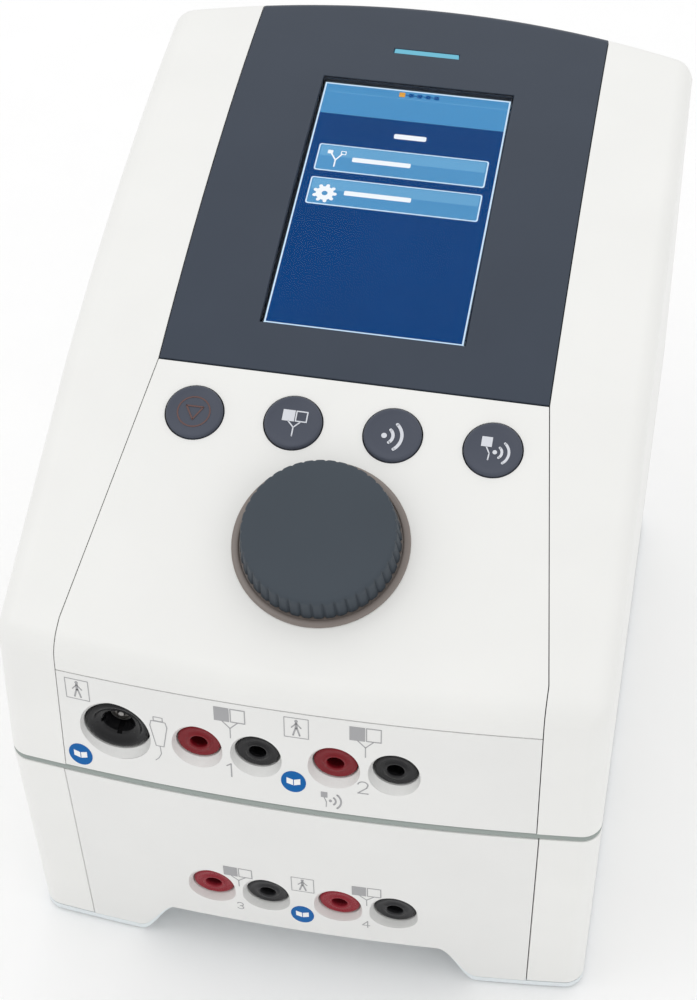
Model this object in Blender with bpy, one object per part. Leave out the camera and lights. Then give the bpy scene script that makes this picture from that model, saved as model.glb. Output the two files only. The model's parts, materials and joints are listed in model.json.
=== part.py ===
"""Bench-top electrotherapy and ultrasound console: a wedge-shaped upper unit on a two-channel base unit.

Lengths are in millimetres and become metres in place(). +X is the operator's right, +Y the rear,
+Z up, and the origin is the centre of the footprint at the table.
"""

import math

import bmesh
import bpy
from mathutils import Matrix, Vector

MM = 0.001
GAP = 0.3  # between pieces that touch
WALL = 3.0  # moulded shell

# Outline in plan: the front and the rear are arcs, the sides are straight.
DEPTH = 272.0
HALF_WIDTH = 94.1  # upper unit, at the height of the panel joint
BASE_HALF_WIDTH = 96.2
CORNER_R = 6.0
FRONT_BOW_R = 780.0
REAR_BOW_R = 270.0
Y_FRONT = -DEPTH / 2
Y_REAR = DEPTH / 2
FLARE = 2.3e-4  # the upper unit widens by this part of its width for each mm down

# Side profile: a sloping deck in front of the joint, a long arc with the screen behind it.
JOINT_Y = Y_FRONT + 97.2
JOINT_Z = 195.5
DECK_SLOPE = math.radians(21.9)
PANEL_RISE = 0.3103  # slope of the arc at the joint
PANEL_BEND = 0.000817
FRONT_EDGE_R = 9.0
REAR_EDGE_R = 5.0
LIP_Z = 146.9  # lower edge of the white deck moulding

# Edges of the centre panels, which run narrower towards the rear.
PANEL_HALF = 63.2
DECK_SPREAD = 0.137
SPREAD_RUN = 85.0  # in front of this the edges run parallel again
BASE_PANEL_HALF = 77.3

# Joint between the two units, and the base unit.
GASKET_LOW, GASKET_HIGH = 97.35, 99.85
UPPER_BOTTOM = GASKET_HIGH + GAP
BASE_TOP = GASKET_LOW - GAP
BASE_TAPER = math.radians(5.7)
REAR_TAPER = math.radians(1.5)
TRAY_LOW = 0.8
TRAY_T = 3.1
ARCH_Z = 18.0
ARCH_INNER, ARCH_OUTER = 46.0, 60.0

# Controls on the deck. Distances along the deck are measured forward from the joint.
SHEET_T = 2.8
KEY_R = 9.2
KEY_HOLE_R = 9.55
KEY_PITCH = 31.8
KEY_ROW = 17.5
KEY_ARC = 0.65
KEY_NAMES = ("stop", "electrotherapy", "ultrasound", "combination")
DIAL_ROW = 56.2
DIAL_R = 25.0
DIAL_TOP = 10.6
DIAL_FLUTES = 42
RING_R = 27.75

# Display.
WINDOW_HALF = 33.6
WINDOW_Y0, WINDOW_Y1 = JOINT_Y + 17.7, JOINT_Y + 128.0
LIGHT_BAR_Y = JOINT_Y + 145.5
LIGHT_BAR_HALF = 11.7

# Sockets.
CHANNEL_X = 21.8
JACK_PITCH = 18.9
JACK_R = 7.05
JACK_BORE_R = 3.2
JACK_SUNK = 2.7
SOCKET_LIP = 1.8  # the recess opens out by this much at the face
PANEL_T = 5.0
UPPER_ROW_Z = 122.0
LOWER_ROW_Z = 39.8
APPLICATOR_X = -58.0
APPLICATOR_R = 10.55
APPLICATOR_BORE_R = 4.85

# Mains entry in the rear wall.
INLET_X, INLET_Z = 0.0, 126.0
INLET_HALF_X, INLET_HALF_Z = 30.0, 14.0
NOTCH_Z = 212.0  # top of the rear wall under the screen panel


# ---------------------------------------------------------------- shape rules


def front_y(x):
    return Y_FRONT + x * x / (2 * FRONT_BOW_R)


def rear_y(x):
    return Y_REAR - x * x / (2 * REAR_BOW_R)


def flared(x, z):
    return x * (1 + FLARE * (JOINT_Z - z))


def panel_slope(y):
    return PANEL_RISE - 2 * PANEL_BEND * (y - JOINT_Y)


def top_z(y, inset=0.0):
    """Height of the upper unit's top surface, or of the surface that lies inset below it."""
    run = y - JOINT_Y
    if run < 0:
        return JOINT_Z + math.tan(DECK_SLOPE) * run - inset / math.cos(DECK_SLOPE)
    return JOINT_Z + PANEL_RISE * run - PANEL_BEND * run * run - inset * math.hypot(1, panel_slope(y))


def deck_half(y):
    """Half width of the centre panel at y."""
    return PANEL_HALF + DECK_SPREAD * min(max(JOINT_Y - y, 0.0), SPREAD_RUN)


def arch_z(x):
    """Underside of the base tray: two feet with a smooth arch between them."""
    t = min(max((ARCH_OUTER - abs(x)) / (ARCH_OUTER - ARCH_INNER), 0.0), 1.0)
    return TRAY_LOW + (ARCH_Z - TRAY_LOW) * t * t * (3 - 2 * t)


def front_edge(x, inset, count=6):
    """Rounded edge between the front face and the deck, from the face upwards."""
    centre_y = front_y(x) + FRONT_EDGE_R
    centre_z = top_z(centre_y, FRONT_EDGE_R)
    radius = max(FRONT_EDGE_R - inset, 0.2)
    end = math.pi / 2 + DECK_SLOPE
    angles = [math.pi + (end - math.pi) * i / (count - 1) for i in range(count)]
    return [(centre_y + radius * math.cos(a), centre_z + radius * math.sin(a)) for a in angles]


def rear_edge(x, inset, count=5):
    """Rounded edge between the top and the rear wall, from the top downwards."""
    centre_y = rear_y(x) - REAR_EDGE_R
    centre_z = top_z(centre_y, REAR_EDGE_R)
    radius = max(REAR_EDGE_R - inset, 0.2)
    start = math.pi / 2 + math.atan(panel_slope(centre_y))
    angles = [start * (1 - i / (count - 1)) for i in range(count)]
    return [(centre_y + radius * math.cos(a), centre_z + radius * math.sin(a)) for a in angles]


def panel_arc(x, inset, count=7, start=JOINT_Y):
    end = rear_y(x) - REAR_EDGE_R
    ys = [start + (end - start) * i / count for i in range(count)]
    return [(y, top_z(y, inset)) for y in ys]


def side_profile(x, inset, bottom):
    """Closed section of the upper unit in the plane of x."""
    edge = front_edge(x, inset)
    rear = rear_edge(x, inset)
    return [(edge[0][0], bottom)] + edge + panel_arc(x, inset) + rear + [(rear[-1][0], bottom)]


def spaced(low, high, count):
    return [low + (high - low) * i / (count - 1) for i in range(count)]


def rounded_stations(half, radius, middle=9, steps=4):
    """(x, inset) stations across a body whose two sides are rounded."""
    angles = [math.pi / 2 * i / steps for i in range(steps, 0, -1)]
    side = [(half - radius + radius * math.sin(a), radius * (1 - math.cos(a))) for a in angles]
    flat = [(x, 0.0) for x in spaced(radius - half, half - radius, middle)]
    return [(-x, inset) for x, inset in side] + flat + [(x, inset) for x, inset in reversed(side)]


# ------------------------------------------------------------- mesh building


def flat_faced(bm):
    """Turns every face out and splits it into triangles, because the Booleans need flat faces."""
    bmesh.ops.recalc_face_normals(bm, faces=bm.faces)
    bmesh.ops.triangulate(bm, faces=bm.faces)
    return bm


def loft(sections):
    """Closed solid through equal loops of points."""
    bm = bmesh.new()
    loops = [[bm.verts.new(point) for point in section] for section in sections]
    count = len(loops[0])
    for low, high in zip(loops, loops[1:]):
        for i in range(count):
            j = (i + 1) % count
            bm.faces.new((low[i], low[j], high[j], high[i]))
    bm.faces.new(list(reversed(loops[0])))
    bm.faces.new(loops[-1])
    return flat_faced(bm)


def sheet(outer, inner):
    """Closed sheet between two equal grids of points."""
    bm = bmesh.new()
    grids = [[[bm.verts.new(point) for point in row] for row in grid] for grid in (outer, inner)]
    rows, columns = len(outer), len(outer[0])
    for grid in grids:
        for i in range(rows - 1):
            for j in range(columns - 1):
                bm.faces.new((grid[i][j], grid[i][j + 1], grid[i + 1][j + 1], grid[i + 1][j]))
    rim = [(i, 0) for i in range(rows)] + [(rows - 1, j) for j in range(1, columns)]
    rim += [(i, columns - 1) for i in range(rows - 2, -1, -1)] + [(0, j) for j in range(columns - 2, 0, -1)]
    for (i, j), (k, m) in zip(rim, rim[1:] + rim[:1]):
        bm.faces.new((grids[0][i][j], grids[0][k][m], grids[1][k][m], grids[1][i][j]))
    return flat_faced(bm)


def turned(profile, segments=20, flute=0.0):
    """Solid of revolution about Z. A profile that doesn't start on the axis closes on itself.

    Points marked True are cut in by the flute on every second segment.
    """
    bm = bmesh.new()
    rings = []
    for radius, z, *marked in profile:
        if radius == 0:
            rings.append([bm.verts.new((0, 0, z))] * segments)
            continue
        ring = []
        for i in range(segments):
            r = radius - (flute if marked and i % 2 else 0.0)
            angle = 2 * math.pi * i / segments
            ring.append(bm.verts.new((r * math.cos(angle), r * math.sin(angle), z)))
        rings.append(ring)
    pairs = list(zip(rings, rings[1:]))
    if profile[0][0] != 0:
        pairs.append((rings[-1], rings[0]))
    for low, high in pairs:
        for i in range(segments):
            j = (i + 1) % segments
            corners = list(dict.fromkeys((low[i], low[j], high[j], high[i])))
            bm.faces.new(corners)
    bmesh.ops.recalc_face_normals(bm, faces=bm.faces)
    return bm


def block(*levels):
    """Stepped block through rectangles (z, half x, half y), bottom to top."""
    return loft([[(-x, -y, z), (x, -y, z), (x, y, z), (-x, y, z)] for z, x, y in levels])


def box(low, high):
    centre = [(a + b) / 2 for a, b in zip(low, high)]
    half = [(b - a) / 2 for a, b in zip(low, high)]
    bm = block((-half[2], half[0], half[1]), (half[2], half[0], half[1]))
    bmesh.ops.translate(bm, vec=centre, verts=bm.verts)
    return bm


# -------------------------------------------------------- objects and colours


def material(name, colour, roughness, metallic=0.0, alpha=1.0):
    found = bpy.data.materials.get(name)
    if found:
        return found
    made = bpy.data.materials.new(name)
    made.use_nodes = True
    shader = made.node_tree.nodes["Principled BSDF"]
    shader.inputs["Base Color"].default_value = (*colour, 1.0)
    shader.inputs["Roughness"].default_value = roughness
    shader.inputs["Metallic"].default_value = metallic
    shader.inputs["Alpha"].default_value = alpha
    return made


def white_plastic():
    return material("white_plastic", (0.84, 0.84, 0.82), 0.42)


def grey_tray():
    return material("grey_tray", (0.66, 0.70, 0.69), 0.5)


def slate_plastic():
    return material("slate_plastic", (0.065, 0.075, 0.095), 0.38)


def warm_grey():
    return material("warm_grey", (0.20, 0.17, 0.155), 0.35)


def gasket_rubber():
    return material("gasket_rubber", (0.25, 0.30, 0.28), 0.7)


def black_plastic():
    return material("black_plastic", (0.012, 0.012, 0.013), 0.35)


def red_plastic():
    return material("red_plastic", (0.22, 0.008, 0.014), 0.35)


def plated_metal():
    return material("plated_metal", (0.72, 0.71, 0.68), 0.25, 1.0)


def circuit_board():
    return material("circuit_board", (0.02, 0.16, 0.07), 0.55)


def screen_glass():
    return material("screen_glass", (0.8, 0.85, 0.9), 0.05, alpha=0.25)


def screen_panel():
    return material("screen_panel", (0.012, 0.05, 0.20), 0.3)


def light_pipe():
    return material("light_pipe", (0.15, 0.55, 0.68), 0.3)


def place(name, bm, colour, matrix=None, smooth=0.0):
    """Makes the object. Its mesh is in metres about its own origin, which matrix puts in millimetres."""
    mesh = bpy.data.meshes.new(name)
    bmesh.ops.scale(bm, vec=(MM, MM, MM), verts=bm.verts)
    bm.to_mesh(mesh)
    bm.free()
    if smooth:
        mesh.shade_smooth()
        mesh.set_sharp_from_angle(angle=math.radians(smooth))
    if colour:
        mesh.materials.append(colour)
    obj = bpy.data.objects.new(name, mesh)
    if matrix is not None:
        obj.matrix_world = Matrix.Translation(matrix.translation * MM) @ matrix.to_3x3().to_4x4()
    bpy.context.scene.collection.objects.link(obj)
    return obj


def combine(target, name, bm, matrix=None, operation="DIFFERENCE"):
    """Cuts a helper solid out of the target, or joins it on."""
    helper = place(name, bm, None, matrix)
    helper.hide_render = True
    helper.display_type = "WIRE"
    modifier = target.modifiers.new(name, "BOOLEAN")
    modifier.operation = operation
    modifier.object = helper
    modifier.solver = "EXACT"


def deck_frame(x, run, height=0.0):
    """Frame on the deck: local +Z is the deck's normal, local +Y points up the slope."""
    turn = Matrix.Rotation(DECK_SLOPE, 4, "X")
    along = turn @ Vector((0, -run, height))
    return Matrix.Translation(Vector((x, JOINT_Y, JOINT_Z)) + along) @ turn


def face_frame(x, z, sunk):
    """Frame on the front face: local +Z points out of the face, and sunk is the depth behind it."""
    tilt = BASE_TAPER if z < GASKET_LOW else 0.0
    surface = front_y(x) + math.tan(tilt) * max(BASE_TOP - z, 0.0)
    turn = Matrix.Rotation(math.pi / 2 + tilt, 4, "X")
    return Matrix.Translation(Vector((x, surface, z)) + turn @ Vector((0, 0, -sunk))) @ turn


def rear_frame(x, z, sunk):
    """Frame on the rear wall: local +Z points out of the wall, local +Y up."""
    turn = Matrix.Rotation(math.pi, 4, "Z") @ Matrix.Rotation(math.pi / 2, 4, "X")
    return Matrix.Translation((x, rear_y(x) - sunk, z)) @ turn


# ----------------------------------------------------------------- base unit


def base_section(x, inset, low, high, wall=0.0):
    """Section of the base unit: the front and the rear lean in towards the table."""
    points = []
    for z, y_side in ((low, -1), (high, -1), (high, 1), (low, 1)):
        drop = BASE_TOP - z
        front = front_y(x) + inset + wall + math.tan(BASE_TAPER) * drop
        rear = rear_y(x) - inset - wall - math.tan(REAR_TAPER) * drop
        points.append((x, front if y_side < 0 else rear, z))
    return points


def base_stations():
    return rounded_stations(BASE_HALF_WIDTH, CORNER_R)


def arch_stations():
    """Stations across the arch, closest on its two flanks."""
    flank = spaced(ARCH_INNER, ARCH_OUTER, 9)
    return [-x for x in reversed(flank)] + spaced(-ARCH_INNER, ARCH_INNER, 9)[1:-1] + flank


def arch_cutter(low_y, high_y):
    """Everything under the arch, between two planes across the unit."""
    xs = [-ARCH_OUTER - 4] + arch_stations() + [ARCH_OUTER + 4]
    roof = TRAY_T + GAP
    sections = []
    for x in xs:
        top = arch_z(x) + roof
        sections.append([(x, low_y, -5), (x, high_y, -5), (x, high_y, top), (x, low_y, top)])
    return loft(sections)


def make_base():
    wall_low = TRAY_LOW + TRAY_T + GAP
    outer = [base_section(x, inset, wall_low, BASE_TOP) for x, inset in base_stations()]
    shell = place("base_housing", loft(outer), white_plastic(), smooth=30)
    inner = [base_section(x, 0, wall_low - 5, BASE_TOP + 5, WALL)
             for x in spaced(WALL - BASE_HALF_WIDTH, BASE_HALF_WIDTH - WALL, 9)]
    combine(shell, "base_cavity", loft(inner))
    half = BASE_PANEL_HALF
    combine(shell, "base_front_gap", box((-half, Y_FRONT - 20, -5), (half, Y_FRONT + 40, BASE_TOP + 5)))
    combine(shell, "base_rear_arch", arch_cutter(Y_REAR - 40, Y_REAR + 20))

    rows = []
    for x in [GAP - half, -68] + arch_stations() + [68, half - GAP]:
        low = arch_z(x) + TRAY_T + GAP
        section = base_section(x, 0, low, BASE_TOP)
        thickness = PANEL_T / math.cos(BASE_TAPER)
        rows.append([section[0], section[1], (x, section[1][1] + thickness, BASE_TOP),
                     (x, section[0][1] + thickness, low)])
    panel = place("base_front_panel", loft(rows), white_plastic(), smooth=30)
    for index, x in enumerate(jack_places()):
        cut_socket(panel, f"lower_hole_{index}", x, LOWER_ROW_Z, JACK_R)

    make_tray()


def make_tray():
    edges = [station for station in base_stations() if abs(station[0]) > 69]
    stations = sorted(edges + [(x, 0.0) for x in [-68] + arch_stations() + [68]])
    sections = []
    for x, inset in stations:
        section = base_section(x, inset, TRAY_LOW, TRAY_LOW + TRAY_T)
        low = arch_z(x)
        sections.append([(px, py, low + (pz - TRAY_LOW)) for px, py, pz in section])
    tray = place("base_tray", loft(sections), grey_tray(), smooth=30)
    for side_x, side_y in ((-1, -1), (1, -1), (-1, 1), (1, 1)):
        name = f"{'front' if side_y < 0 else 'rear'}_{'left' if side_x < 0 else 'right'}"
        foot_at = Matrix.Translation((80 * side_x, 104 * side_y, 0))
        place(f"foot_{name}", turned([(0, 0), (7.4, 0), (8, 0.6), (8, 2.3), (0, 2.3)], 24),
              gasket_rubber(), foot_at, smooth=30)
        combine(tray, f"foot_seat_{name}", turned([(0, -2), (8.3, -2), (8.3, 2.6), (0, 2.6)], 24), foot_at)
        screw_at = Matrix.Translation((36 * side_x, 80 * side_y, ARCH_Z))
        screw = [(0, -2.3), (3.2, -2.3), (3.6, -1.9), (3.6, -GAP), (1.9, -GAP), (1.9, 12), (0, 12)]
        place(f"base_screw_{name}", turned(screw, 16), plated_metal(), screw_at, smooth=30)
        combine(tray, f"screw_hole_{name}", turned([(0, -4), (2.3, -4), (2.3, 8), (0, 8)], 16), screw_at)


# ---------------------------------------------------------------- upper unit


def make_gasket():
    def ring(inset, z):
        stations = rounded_stations(BASE_HALF_WIDTH - inset, CORNER_R - min(inset, 3.0), 11)
        front = [(x, front_y(x) + inset + turn, z) for x, turn in stations]
        rear = [(x, rear_y(x) - inset - turn, z) for x, turn in reversed(stations)]
        return front + rear

    outer = [ring(0.0, z) for z in (GASKET_LOW, GASKET_HIGH)]
    gasket = place("seam_gasket", loft(outer), gasket_rubber(), smooth=30)
    combine(gasket, "gasket_middle", loft([ring(7.0, z) for z in (GASKET_LOW - 3, GASKET_HIGH + 3)]))


def make_chassis_plate():
    low, high = (-90, Y_FRONT + 9, UPPER_BOTTOM + GAP), (90, Y_REAR - 22, UPPER_BOTTOM + 2)
    plate = place("chassis_plate", box(low, high), plated_metal())
    combine(plate, "cable_slot", box((-15, -10, 90), (15, 10, 110)))


def opening_sections():
    """The gap for the centre panels, from front to rear. Its floor steps up to the top of the rear wall."""
    sections = []
    behind = Y_REAR - 30
    stops = ((Y_FRONT - 20, False), (JOINT_Y - SPREAD_RUN, False), (JOINT_Y, False), (behind, False),
             (behind, True), (Y_REAR + 20, True))
    for y, over_wall in stops:
        half = deck_half(y)
        low, high = (NOTCH_Z if over_wall else UPPER_BOTTOM - 10), 260
        corners = ((-half, low), (half, low), (half, high), (-half, high))
        sections.append([(flared(x, z), y, z) for x, z in corners])
    return sections


def make_housing():
    outer = []
    for x, inset in rounded_stations(HALF_WIDTH, CORNER_R):
        outer.append([(flared(x, z), y, z) for y, z in side_profile(x, inset, UPPER_BOTTOM)])
    shell = place("upper_housing", loft(outer), white_plastic(), smooth=30)
    inner = []
    for x in spaced(WALL - HALF_WIDTH, HALF_WIDTH - WALL, 9):
        inner.append([(flared(x, z), y, z) for y, z in side_profile(x, WALL, UPPER_BOTTOM - 8)])
    combine(shell, "upper_cavity", loft(inner))
    combine(shell, "panel_opening", loft(opening_sections()))
    combine(shell, "inlet_hole", block((-20, INLET_HALF_X + GAP, INLET_HALF_Z + GAP),
                                       (10, INLET_HALF_X + GAP, INLET_HALF_Z + GAP)),
            rear_frame(INLET_X, INLET_Z, 0))
    for index in range(7):
        combine(shell, f"vent_{index}", block((-12, 1.5, 16), (10, 1.5, 16)),
                rear_frame(8 * (index - 3), 172, 0))


def make_deck():
    """White moulding with the keys and the dial: the deck and the rounded front edge."""
    steps = spaced(-1, 1, 11)
    grids = []
    for inset in (0.0, SHEET_T):
        grid = []
        for u in steps:
            x = u * deck_half(Y_FRONT)
            edge = front_edge(x, inset)
            points = [(edge[0][0], LIP_Z)] + edge
            start = edge[-1][0]
            points += [(start + (JOINT_Y - GAP - start) * i / 3, None) for i in (1, 2, 3)]
            row = []
            for y, z in points:
                z = top_z(y - 1e-6, inset) if z is None else z
                row.append((flared(u * (deck_half(y) - GAP), z), y, z))
            grid.append(row)
        grids.append(grid)
    deck = place("control_fascia", sheet(*grids), white_plastic(), smooth=30)
    for name, frame in key_places():
        hole = turned([(0, -8), (KEY_HOLE_R, -8), (KEY_HOLE_R, 8), (0, 8)], 28)
        combine(deck, f"key_hole_{name}", hole, frame)
    combine(deck, "dial_hole", turned([(0, -8), (4.0, -8), (4.0, 8), (0, 8)], 24), deck_frame(0, DIAL_ROW))


def make_screen_panel():
    grids = []
    for inset in (0.0, SHEET_T):
        grid = []
        for u in spaced(-1, 1, 11):
            x = u * (PANEL_HALF - GAP)
            profile = panel_arc(x, inset, 9, JOINT_Y + GAP) + rear_edge(x, inset)
            profile.append((rear_y(x) - inset, NOTCH_Z + GAP))
            grid.append([(flared(x, z), y, z) for y, z in profile])
        grids.append(grid)
    panel = place("display_bezel", sheet(*grids), slate_plastic(), smooth=30)
    frame, half_run = screen_frame()
    combine(panel, "window_opening", block((-12, WINDOW_HALF, half_run), (12, WINDOW_HALF, half_run)), frame)
    bar_frame = Matrix.Translation((0, LIGHT_BAR_Y, top_z(LIGHT_BAR_Y)))
    bar_frame = bar_frame @ Matrix.Rotation(math.atan(panel_slope(LIGHT_BAR_Y)), 4, "X")
    combine(panel, "bar_slot", block((-8, LIGHT_BAR_HALF, 1.3), (8, LIGHT_BAR_HALF, 1.3)), bar_frame)
    bar = LIGHT_BAR_HALF - GAP
    place("status_light_bar", block((-6, bar, 1.0), (0.1, bar, 1.0)), light_pipe(), bar_frame)

    lens = []
    for inset in (0.05, 1.05):
        ys = spaced(WINDOW_Y0 + GAP, WINDOW_Y1 - GAP, 9)
        xs = spaced(GAP - WINDOW_HALF, WINDOW_HALF - GAP, 5)
        lens.append([[(x, y, top_z(y, inset)) for y in ys] for x in xs])
    place("display_window", sheet(*lens), screen_glass(), smooth=30)
    glass_x, glass_y = WINDOW_HALF - 2 * GAP, half_run - 2 * GAP
    module = block((-10, 37, 60), (-4.9, 37, 60), (-4.9, glass_x, glass_y), (-1.9, glass_x, glass_y))
    place("lcd_module", module, screen_panel(), frame)


def screen_frame():
    """Frame on the chord of the window, and half the chord's length."""
    rise = top_z(WINDOW_Y1) - top_z(WINDOW_Y0)
    run = WINDOW_Y1 - WINDOW_Y0
    middle = Vector((0, (WINDOW_Y0 + WINDOW_Y1) / 2, (top_z(WINDOW_Y0) + top_z(WINDOW_Y1)) / 2))
    turn = Matrix.Rotation(math.atan2(rise, run), 4, "X")
    return Matrix.Translation(middle) @ turn, math.hypot(rise, run) / 2


# ------------------------------------------------------------------- sockets


def jack_places():
    return [side * CHANNEL_X + offset for side in (-1, 1) for offset in (-JACK_PITCH / 2, JACK_PITCH / 2)]


def cut_socket(panel, name, x, z, radius):
    """Round recess that opens out towards the face."""
    mouth = radius + SOCKET_LIP
    profile = [(0, -12), (radius + GAP, -12), (radius + GAP, 0.6), (radius + 0.8, JACK_SUNK - 0.7),
               (mouth, JACK_SUNK), (mouth, JACK_SUNK + 4), (0, JACK_SUNK + 4)]
    combine(panel, name, turned(profile), face_frame(x, z, JACK_SUNK))


def make_jack_panel():
    half = deck_half(Y_FRONT) - GAP
    rows = []
    for x in spaced(-half, half, 17):
        front, back = front_y(x), front_y(x) + PANEL_T
        low, high = UPPER_BOTTOM + GAP, LIP_Z - GAP
        corners = ((front, low), (front, high), (back, high), (back, low))
        rows.append([(flared(x, z), y, z) for y, z in corners])
    panel = place("jack_panel", loft(rows), white_plastic(), smooth=30)
    for index, x in enumerate(jack_places()):
        cut_socket(panel, f"upper_hole_{index}", x, UPPER_ROW_Z, JACK_R)
    cut_socket(panel, "applicator_hole", APPLICATOR_X, UPPER_ROW_Z, APPLICATOR_R)


def make_jacks():
    bore, depth = JACK_BORE_R, 12.0
    shape = [(0, -depth), (bore, -depth), (bore, 0), (JACK_R, 0), (JACK_R, -2.2), (5.6, -2.2), (5.6, -16),
             (0, -16)]
    pin = [(0, -depth + GAP), (1.2, -depth + GAP), (1.2, -6.6), (0.7, -6.1), (0, -6.1)]
    for index, z in enumerate((UPPER_ROW_Z, LOWER_ROW_Z)):
        for place_index, x in enumerate(jack_places()):
            channel = 1 + 2 * index + place_index // 2
            name, colour = (("red", red_plastic()), ("black", black_plastic()))[place_index % 2]
            frame = face_frame(x, z, JACK_SUNK)
            place(f"jack_{channel}_{name}", turned(shape), colour, frame, smooth=30)
            place(f"jack_pin_{channel}_{name}", turned(pin, 12), plated_metal(), frame, smooth=30)


def make_applicator_socket():
    radius, bore = APPLICATOR_R, APPLICATOR_BORE_R
    shape = [(0, -14), (bore, -14), (bore, -0.8), (bore + 0.8, 0), (radius - 1.2, 0), (radius, -1.2),
             (radius, -3), (8.2, -3), (8.2, -20), (0, -20)]
    frame = face_frame(APPLICATOR_X, UPPER_ROW_Z, JACK_SUNK)
    socket = place("applicator_socket", turned(shape, 28), black_plastic(), frame, smooth=30)
    for angle in (0, 90, 180, 270):
        key_frame = frame @ Matrix.Rotation(math.radians(angle), 4, "Z") @ Matrix.Translation((bore, 0, 0))
        combine(socket, f"key_way_{angle}", block((-9, 0.7, 0.8), (3, 0.7, 0.8)), key_frame)
    insert = [(0, -13.7), (3.9, -13.7), (3.9, -8.0), (3.4, -7.5), (0, -7.5)]
    place("applicator_contacts", turned(insert, 24), plated_metal(), frame, smooth=30)


# ------------------------------------------------------------ keys and dial


def key_places():
    frames = []
    for index, name in enumerate(KEY_NAMES):
        arc = KEY_ARC if index in (1, 2) else 0.0
        frames.append((name, deck_frame((index - 1.5) * KEY_PITCH, KEY_ROW - arc)))
    return frames


def make_keys():
    cap = [(0, 0.5), (6.2, 0.55), (8.4, 1.0), (KEY_R, 0.4), (KEY_R, -3.1), (10.6, -3.1), (10.6, -4.2),
           (2.0, -4.2), (2.0, -5.6), (0, -5.6)]
    for name, frame in key_places():
        place(f"button_{name}", turned(cap, 24), slate_plastic(), frame, smooth=30)
        switch = place(f"switch_{name}", block((-11.0, 3, 3), (-7.6, 3, 3)), black_plastic(), frame)
        plunger = turned([(0, -8.4), (1.7, -8.4), (1.7, -6.6), (0, -6.6)], 12)
        combine(switch, f"plunger_{name}", plunger, frame, "UNION")


def make_dial():
    frame = deck_frame(0, DIAL_ROW)
    top, low = DIAL_TOP, 0.7
    knob = [(0, top - 0.3), (22.6, top), (DIAL_R - 1.0, top - 1.2, True), (DIAL_R, low, True), (4.2, low),
            (4.2, 3.5), (3.3, 3.5), (3.3, 7.9), (0, 7.9)]
    place("dial_knob", turned(knob, 2 * DIAL_FLUTES, flute=0.4), slate_plastic(), frame, smooth=25)
    ring = [(DIAL_R + 0.4, GAP), (RING_R, GAP), (RING_R - 0.3, 0.8), (DIAL_R + 0.4, 1.0)]
    place("dial_trim_ring", turned(ring, 48), warm_grey(), frame, smooth=40)
    shaft = turned([(0, -9), (3, -9), (3, 7.0), (2.4, 7.6), (0, 7.6)])
    place("encoder_shaft", shaft, plated_metal(), frame, smooth=30)
    body = place("encoder_body", block((-11, 7, 7), (-4.2, 7, 7)), black_plastic(), frame)
    combine(body, "encoder_bush", turned([(0, -6), (3.7, -6), (3.7, 3.1), (0, 3.1)], 24), frame, "UNION")
    combine(body, "encoder_bore", turned([(0, -9.4), (3.3, -9.4), (3.3, 6), (0, 6)], 24), frame)


# ------------------------------------------------------------------- insides


def make_boards():
    key_frame = deck_frame(0, 39.0)
    place("key_board", block((-12.9, 60, 33), (-11.3, 60, 33)), circuit_board(), key_frame)
    place("main_board", box((-56, -20, 150), (56, 100, 151.6)), circuit_board())
    place("ultrasound_board", box((-78, -104, 108), (-40, -20, 109.6)), circuit_board())
    place("output_board_upper", box((-36, -104, 108), (44, -20, 109.6)), circuit_board())
    place("output_board_lower", box((-50, -98, 34), (50, -30, 35.6)), circuit_board())
    place("power_supply", box((-45, -10, 34), (45, 90, 72)), plated_metal())


def make_mains_entry():
    """Inlet, fuse drawer and power switch in one moulded block in the rear wall."""
    frame = rear_frame(INLET_X, INLET_Z, 3.0)
    inlet = place("mains_inlet", block((-24, INLET_HALF_X, INLET_HALF_Z), (0, INLET_HALF_X, INLET_HALF_Z)),
                  black_plastic(), frame)
    combine(inlet, "inlet_well", block((-16, 12, 8.3), (5, 12, 8.3)), frame @ Matrix.Translation((-15, 0, 0)))
    for index, (x, y) in enumerate(((-7, -2.5), (0, 2.5), (7, -2.5))):
        combine(inlet, f"inlet_blade_{index}", block((-18, 1.0, 2.2), (-6, 1.0, 2.2)),
                frame @ Matrix.Translation((x - 15, y, 0)), "UNION")
    combine(inlet, "drawer_well", block((-21, 5.5, 9), (5, 5.5, 9)), frame @ Matrix.Translation((4.5, 0, 0)))
    combine(inlet, "switch_well", block((-14, 7.0, 10.5), (5, 7.0, 10.5)),
            frame @ Matrix.Translation((20, 0, 0)))
    drawer_frame = frame @ Matrix.Translation((4.5, 0, 0))
    drawer = block((-20, 4.6, 8.1), (-1.2, 4.6, 8.1), (-1.2, 5.1, 8.6), (0.6, 5.1, 8.6))
    place("fuse_drawer", drawer, black_plastic(), drawer_frame)
    section = ((-9.3, 0.4), (0, -0.4), (9.3, 3.2), (6.2, -5), (-6.2, -5))
    rocker = loft([[(x, y, z) for y, z in section] for x in (-6.4, 6.4)])
    place("power_rocker", rocker, red_plastic(), frame @ Matrix.Translation((20, 0, -2.0)))


def clear_scene():
    for obj in list(bpy.data.objects):
        bpy.data.objects.remove(obj, do_unlink=True)


def main():
    clear_scene()
    make_base()
    make_gasket()
    make_chassis_plate()
    make_housing()
    make_deck()
    make_screen_panel()
    make_jack_panel()
    make_jacks()
    make_applicator_socket()
    make_keys()
    make_dial()
    make_boards()
    make_mains_entry()


main()
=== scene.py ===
"""Looks of the bench-top electrotherapy and ultrasound console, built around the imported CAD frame.

Lengths are in millimetres, in the CAD's own frame, and become metres in piece(). +X is the
operator's right, +Y the rear and +Z up.
"""

import json
import math

import bmesh
import bpy
from mathutils import Matrix, Vector

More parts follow.
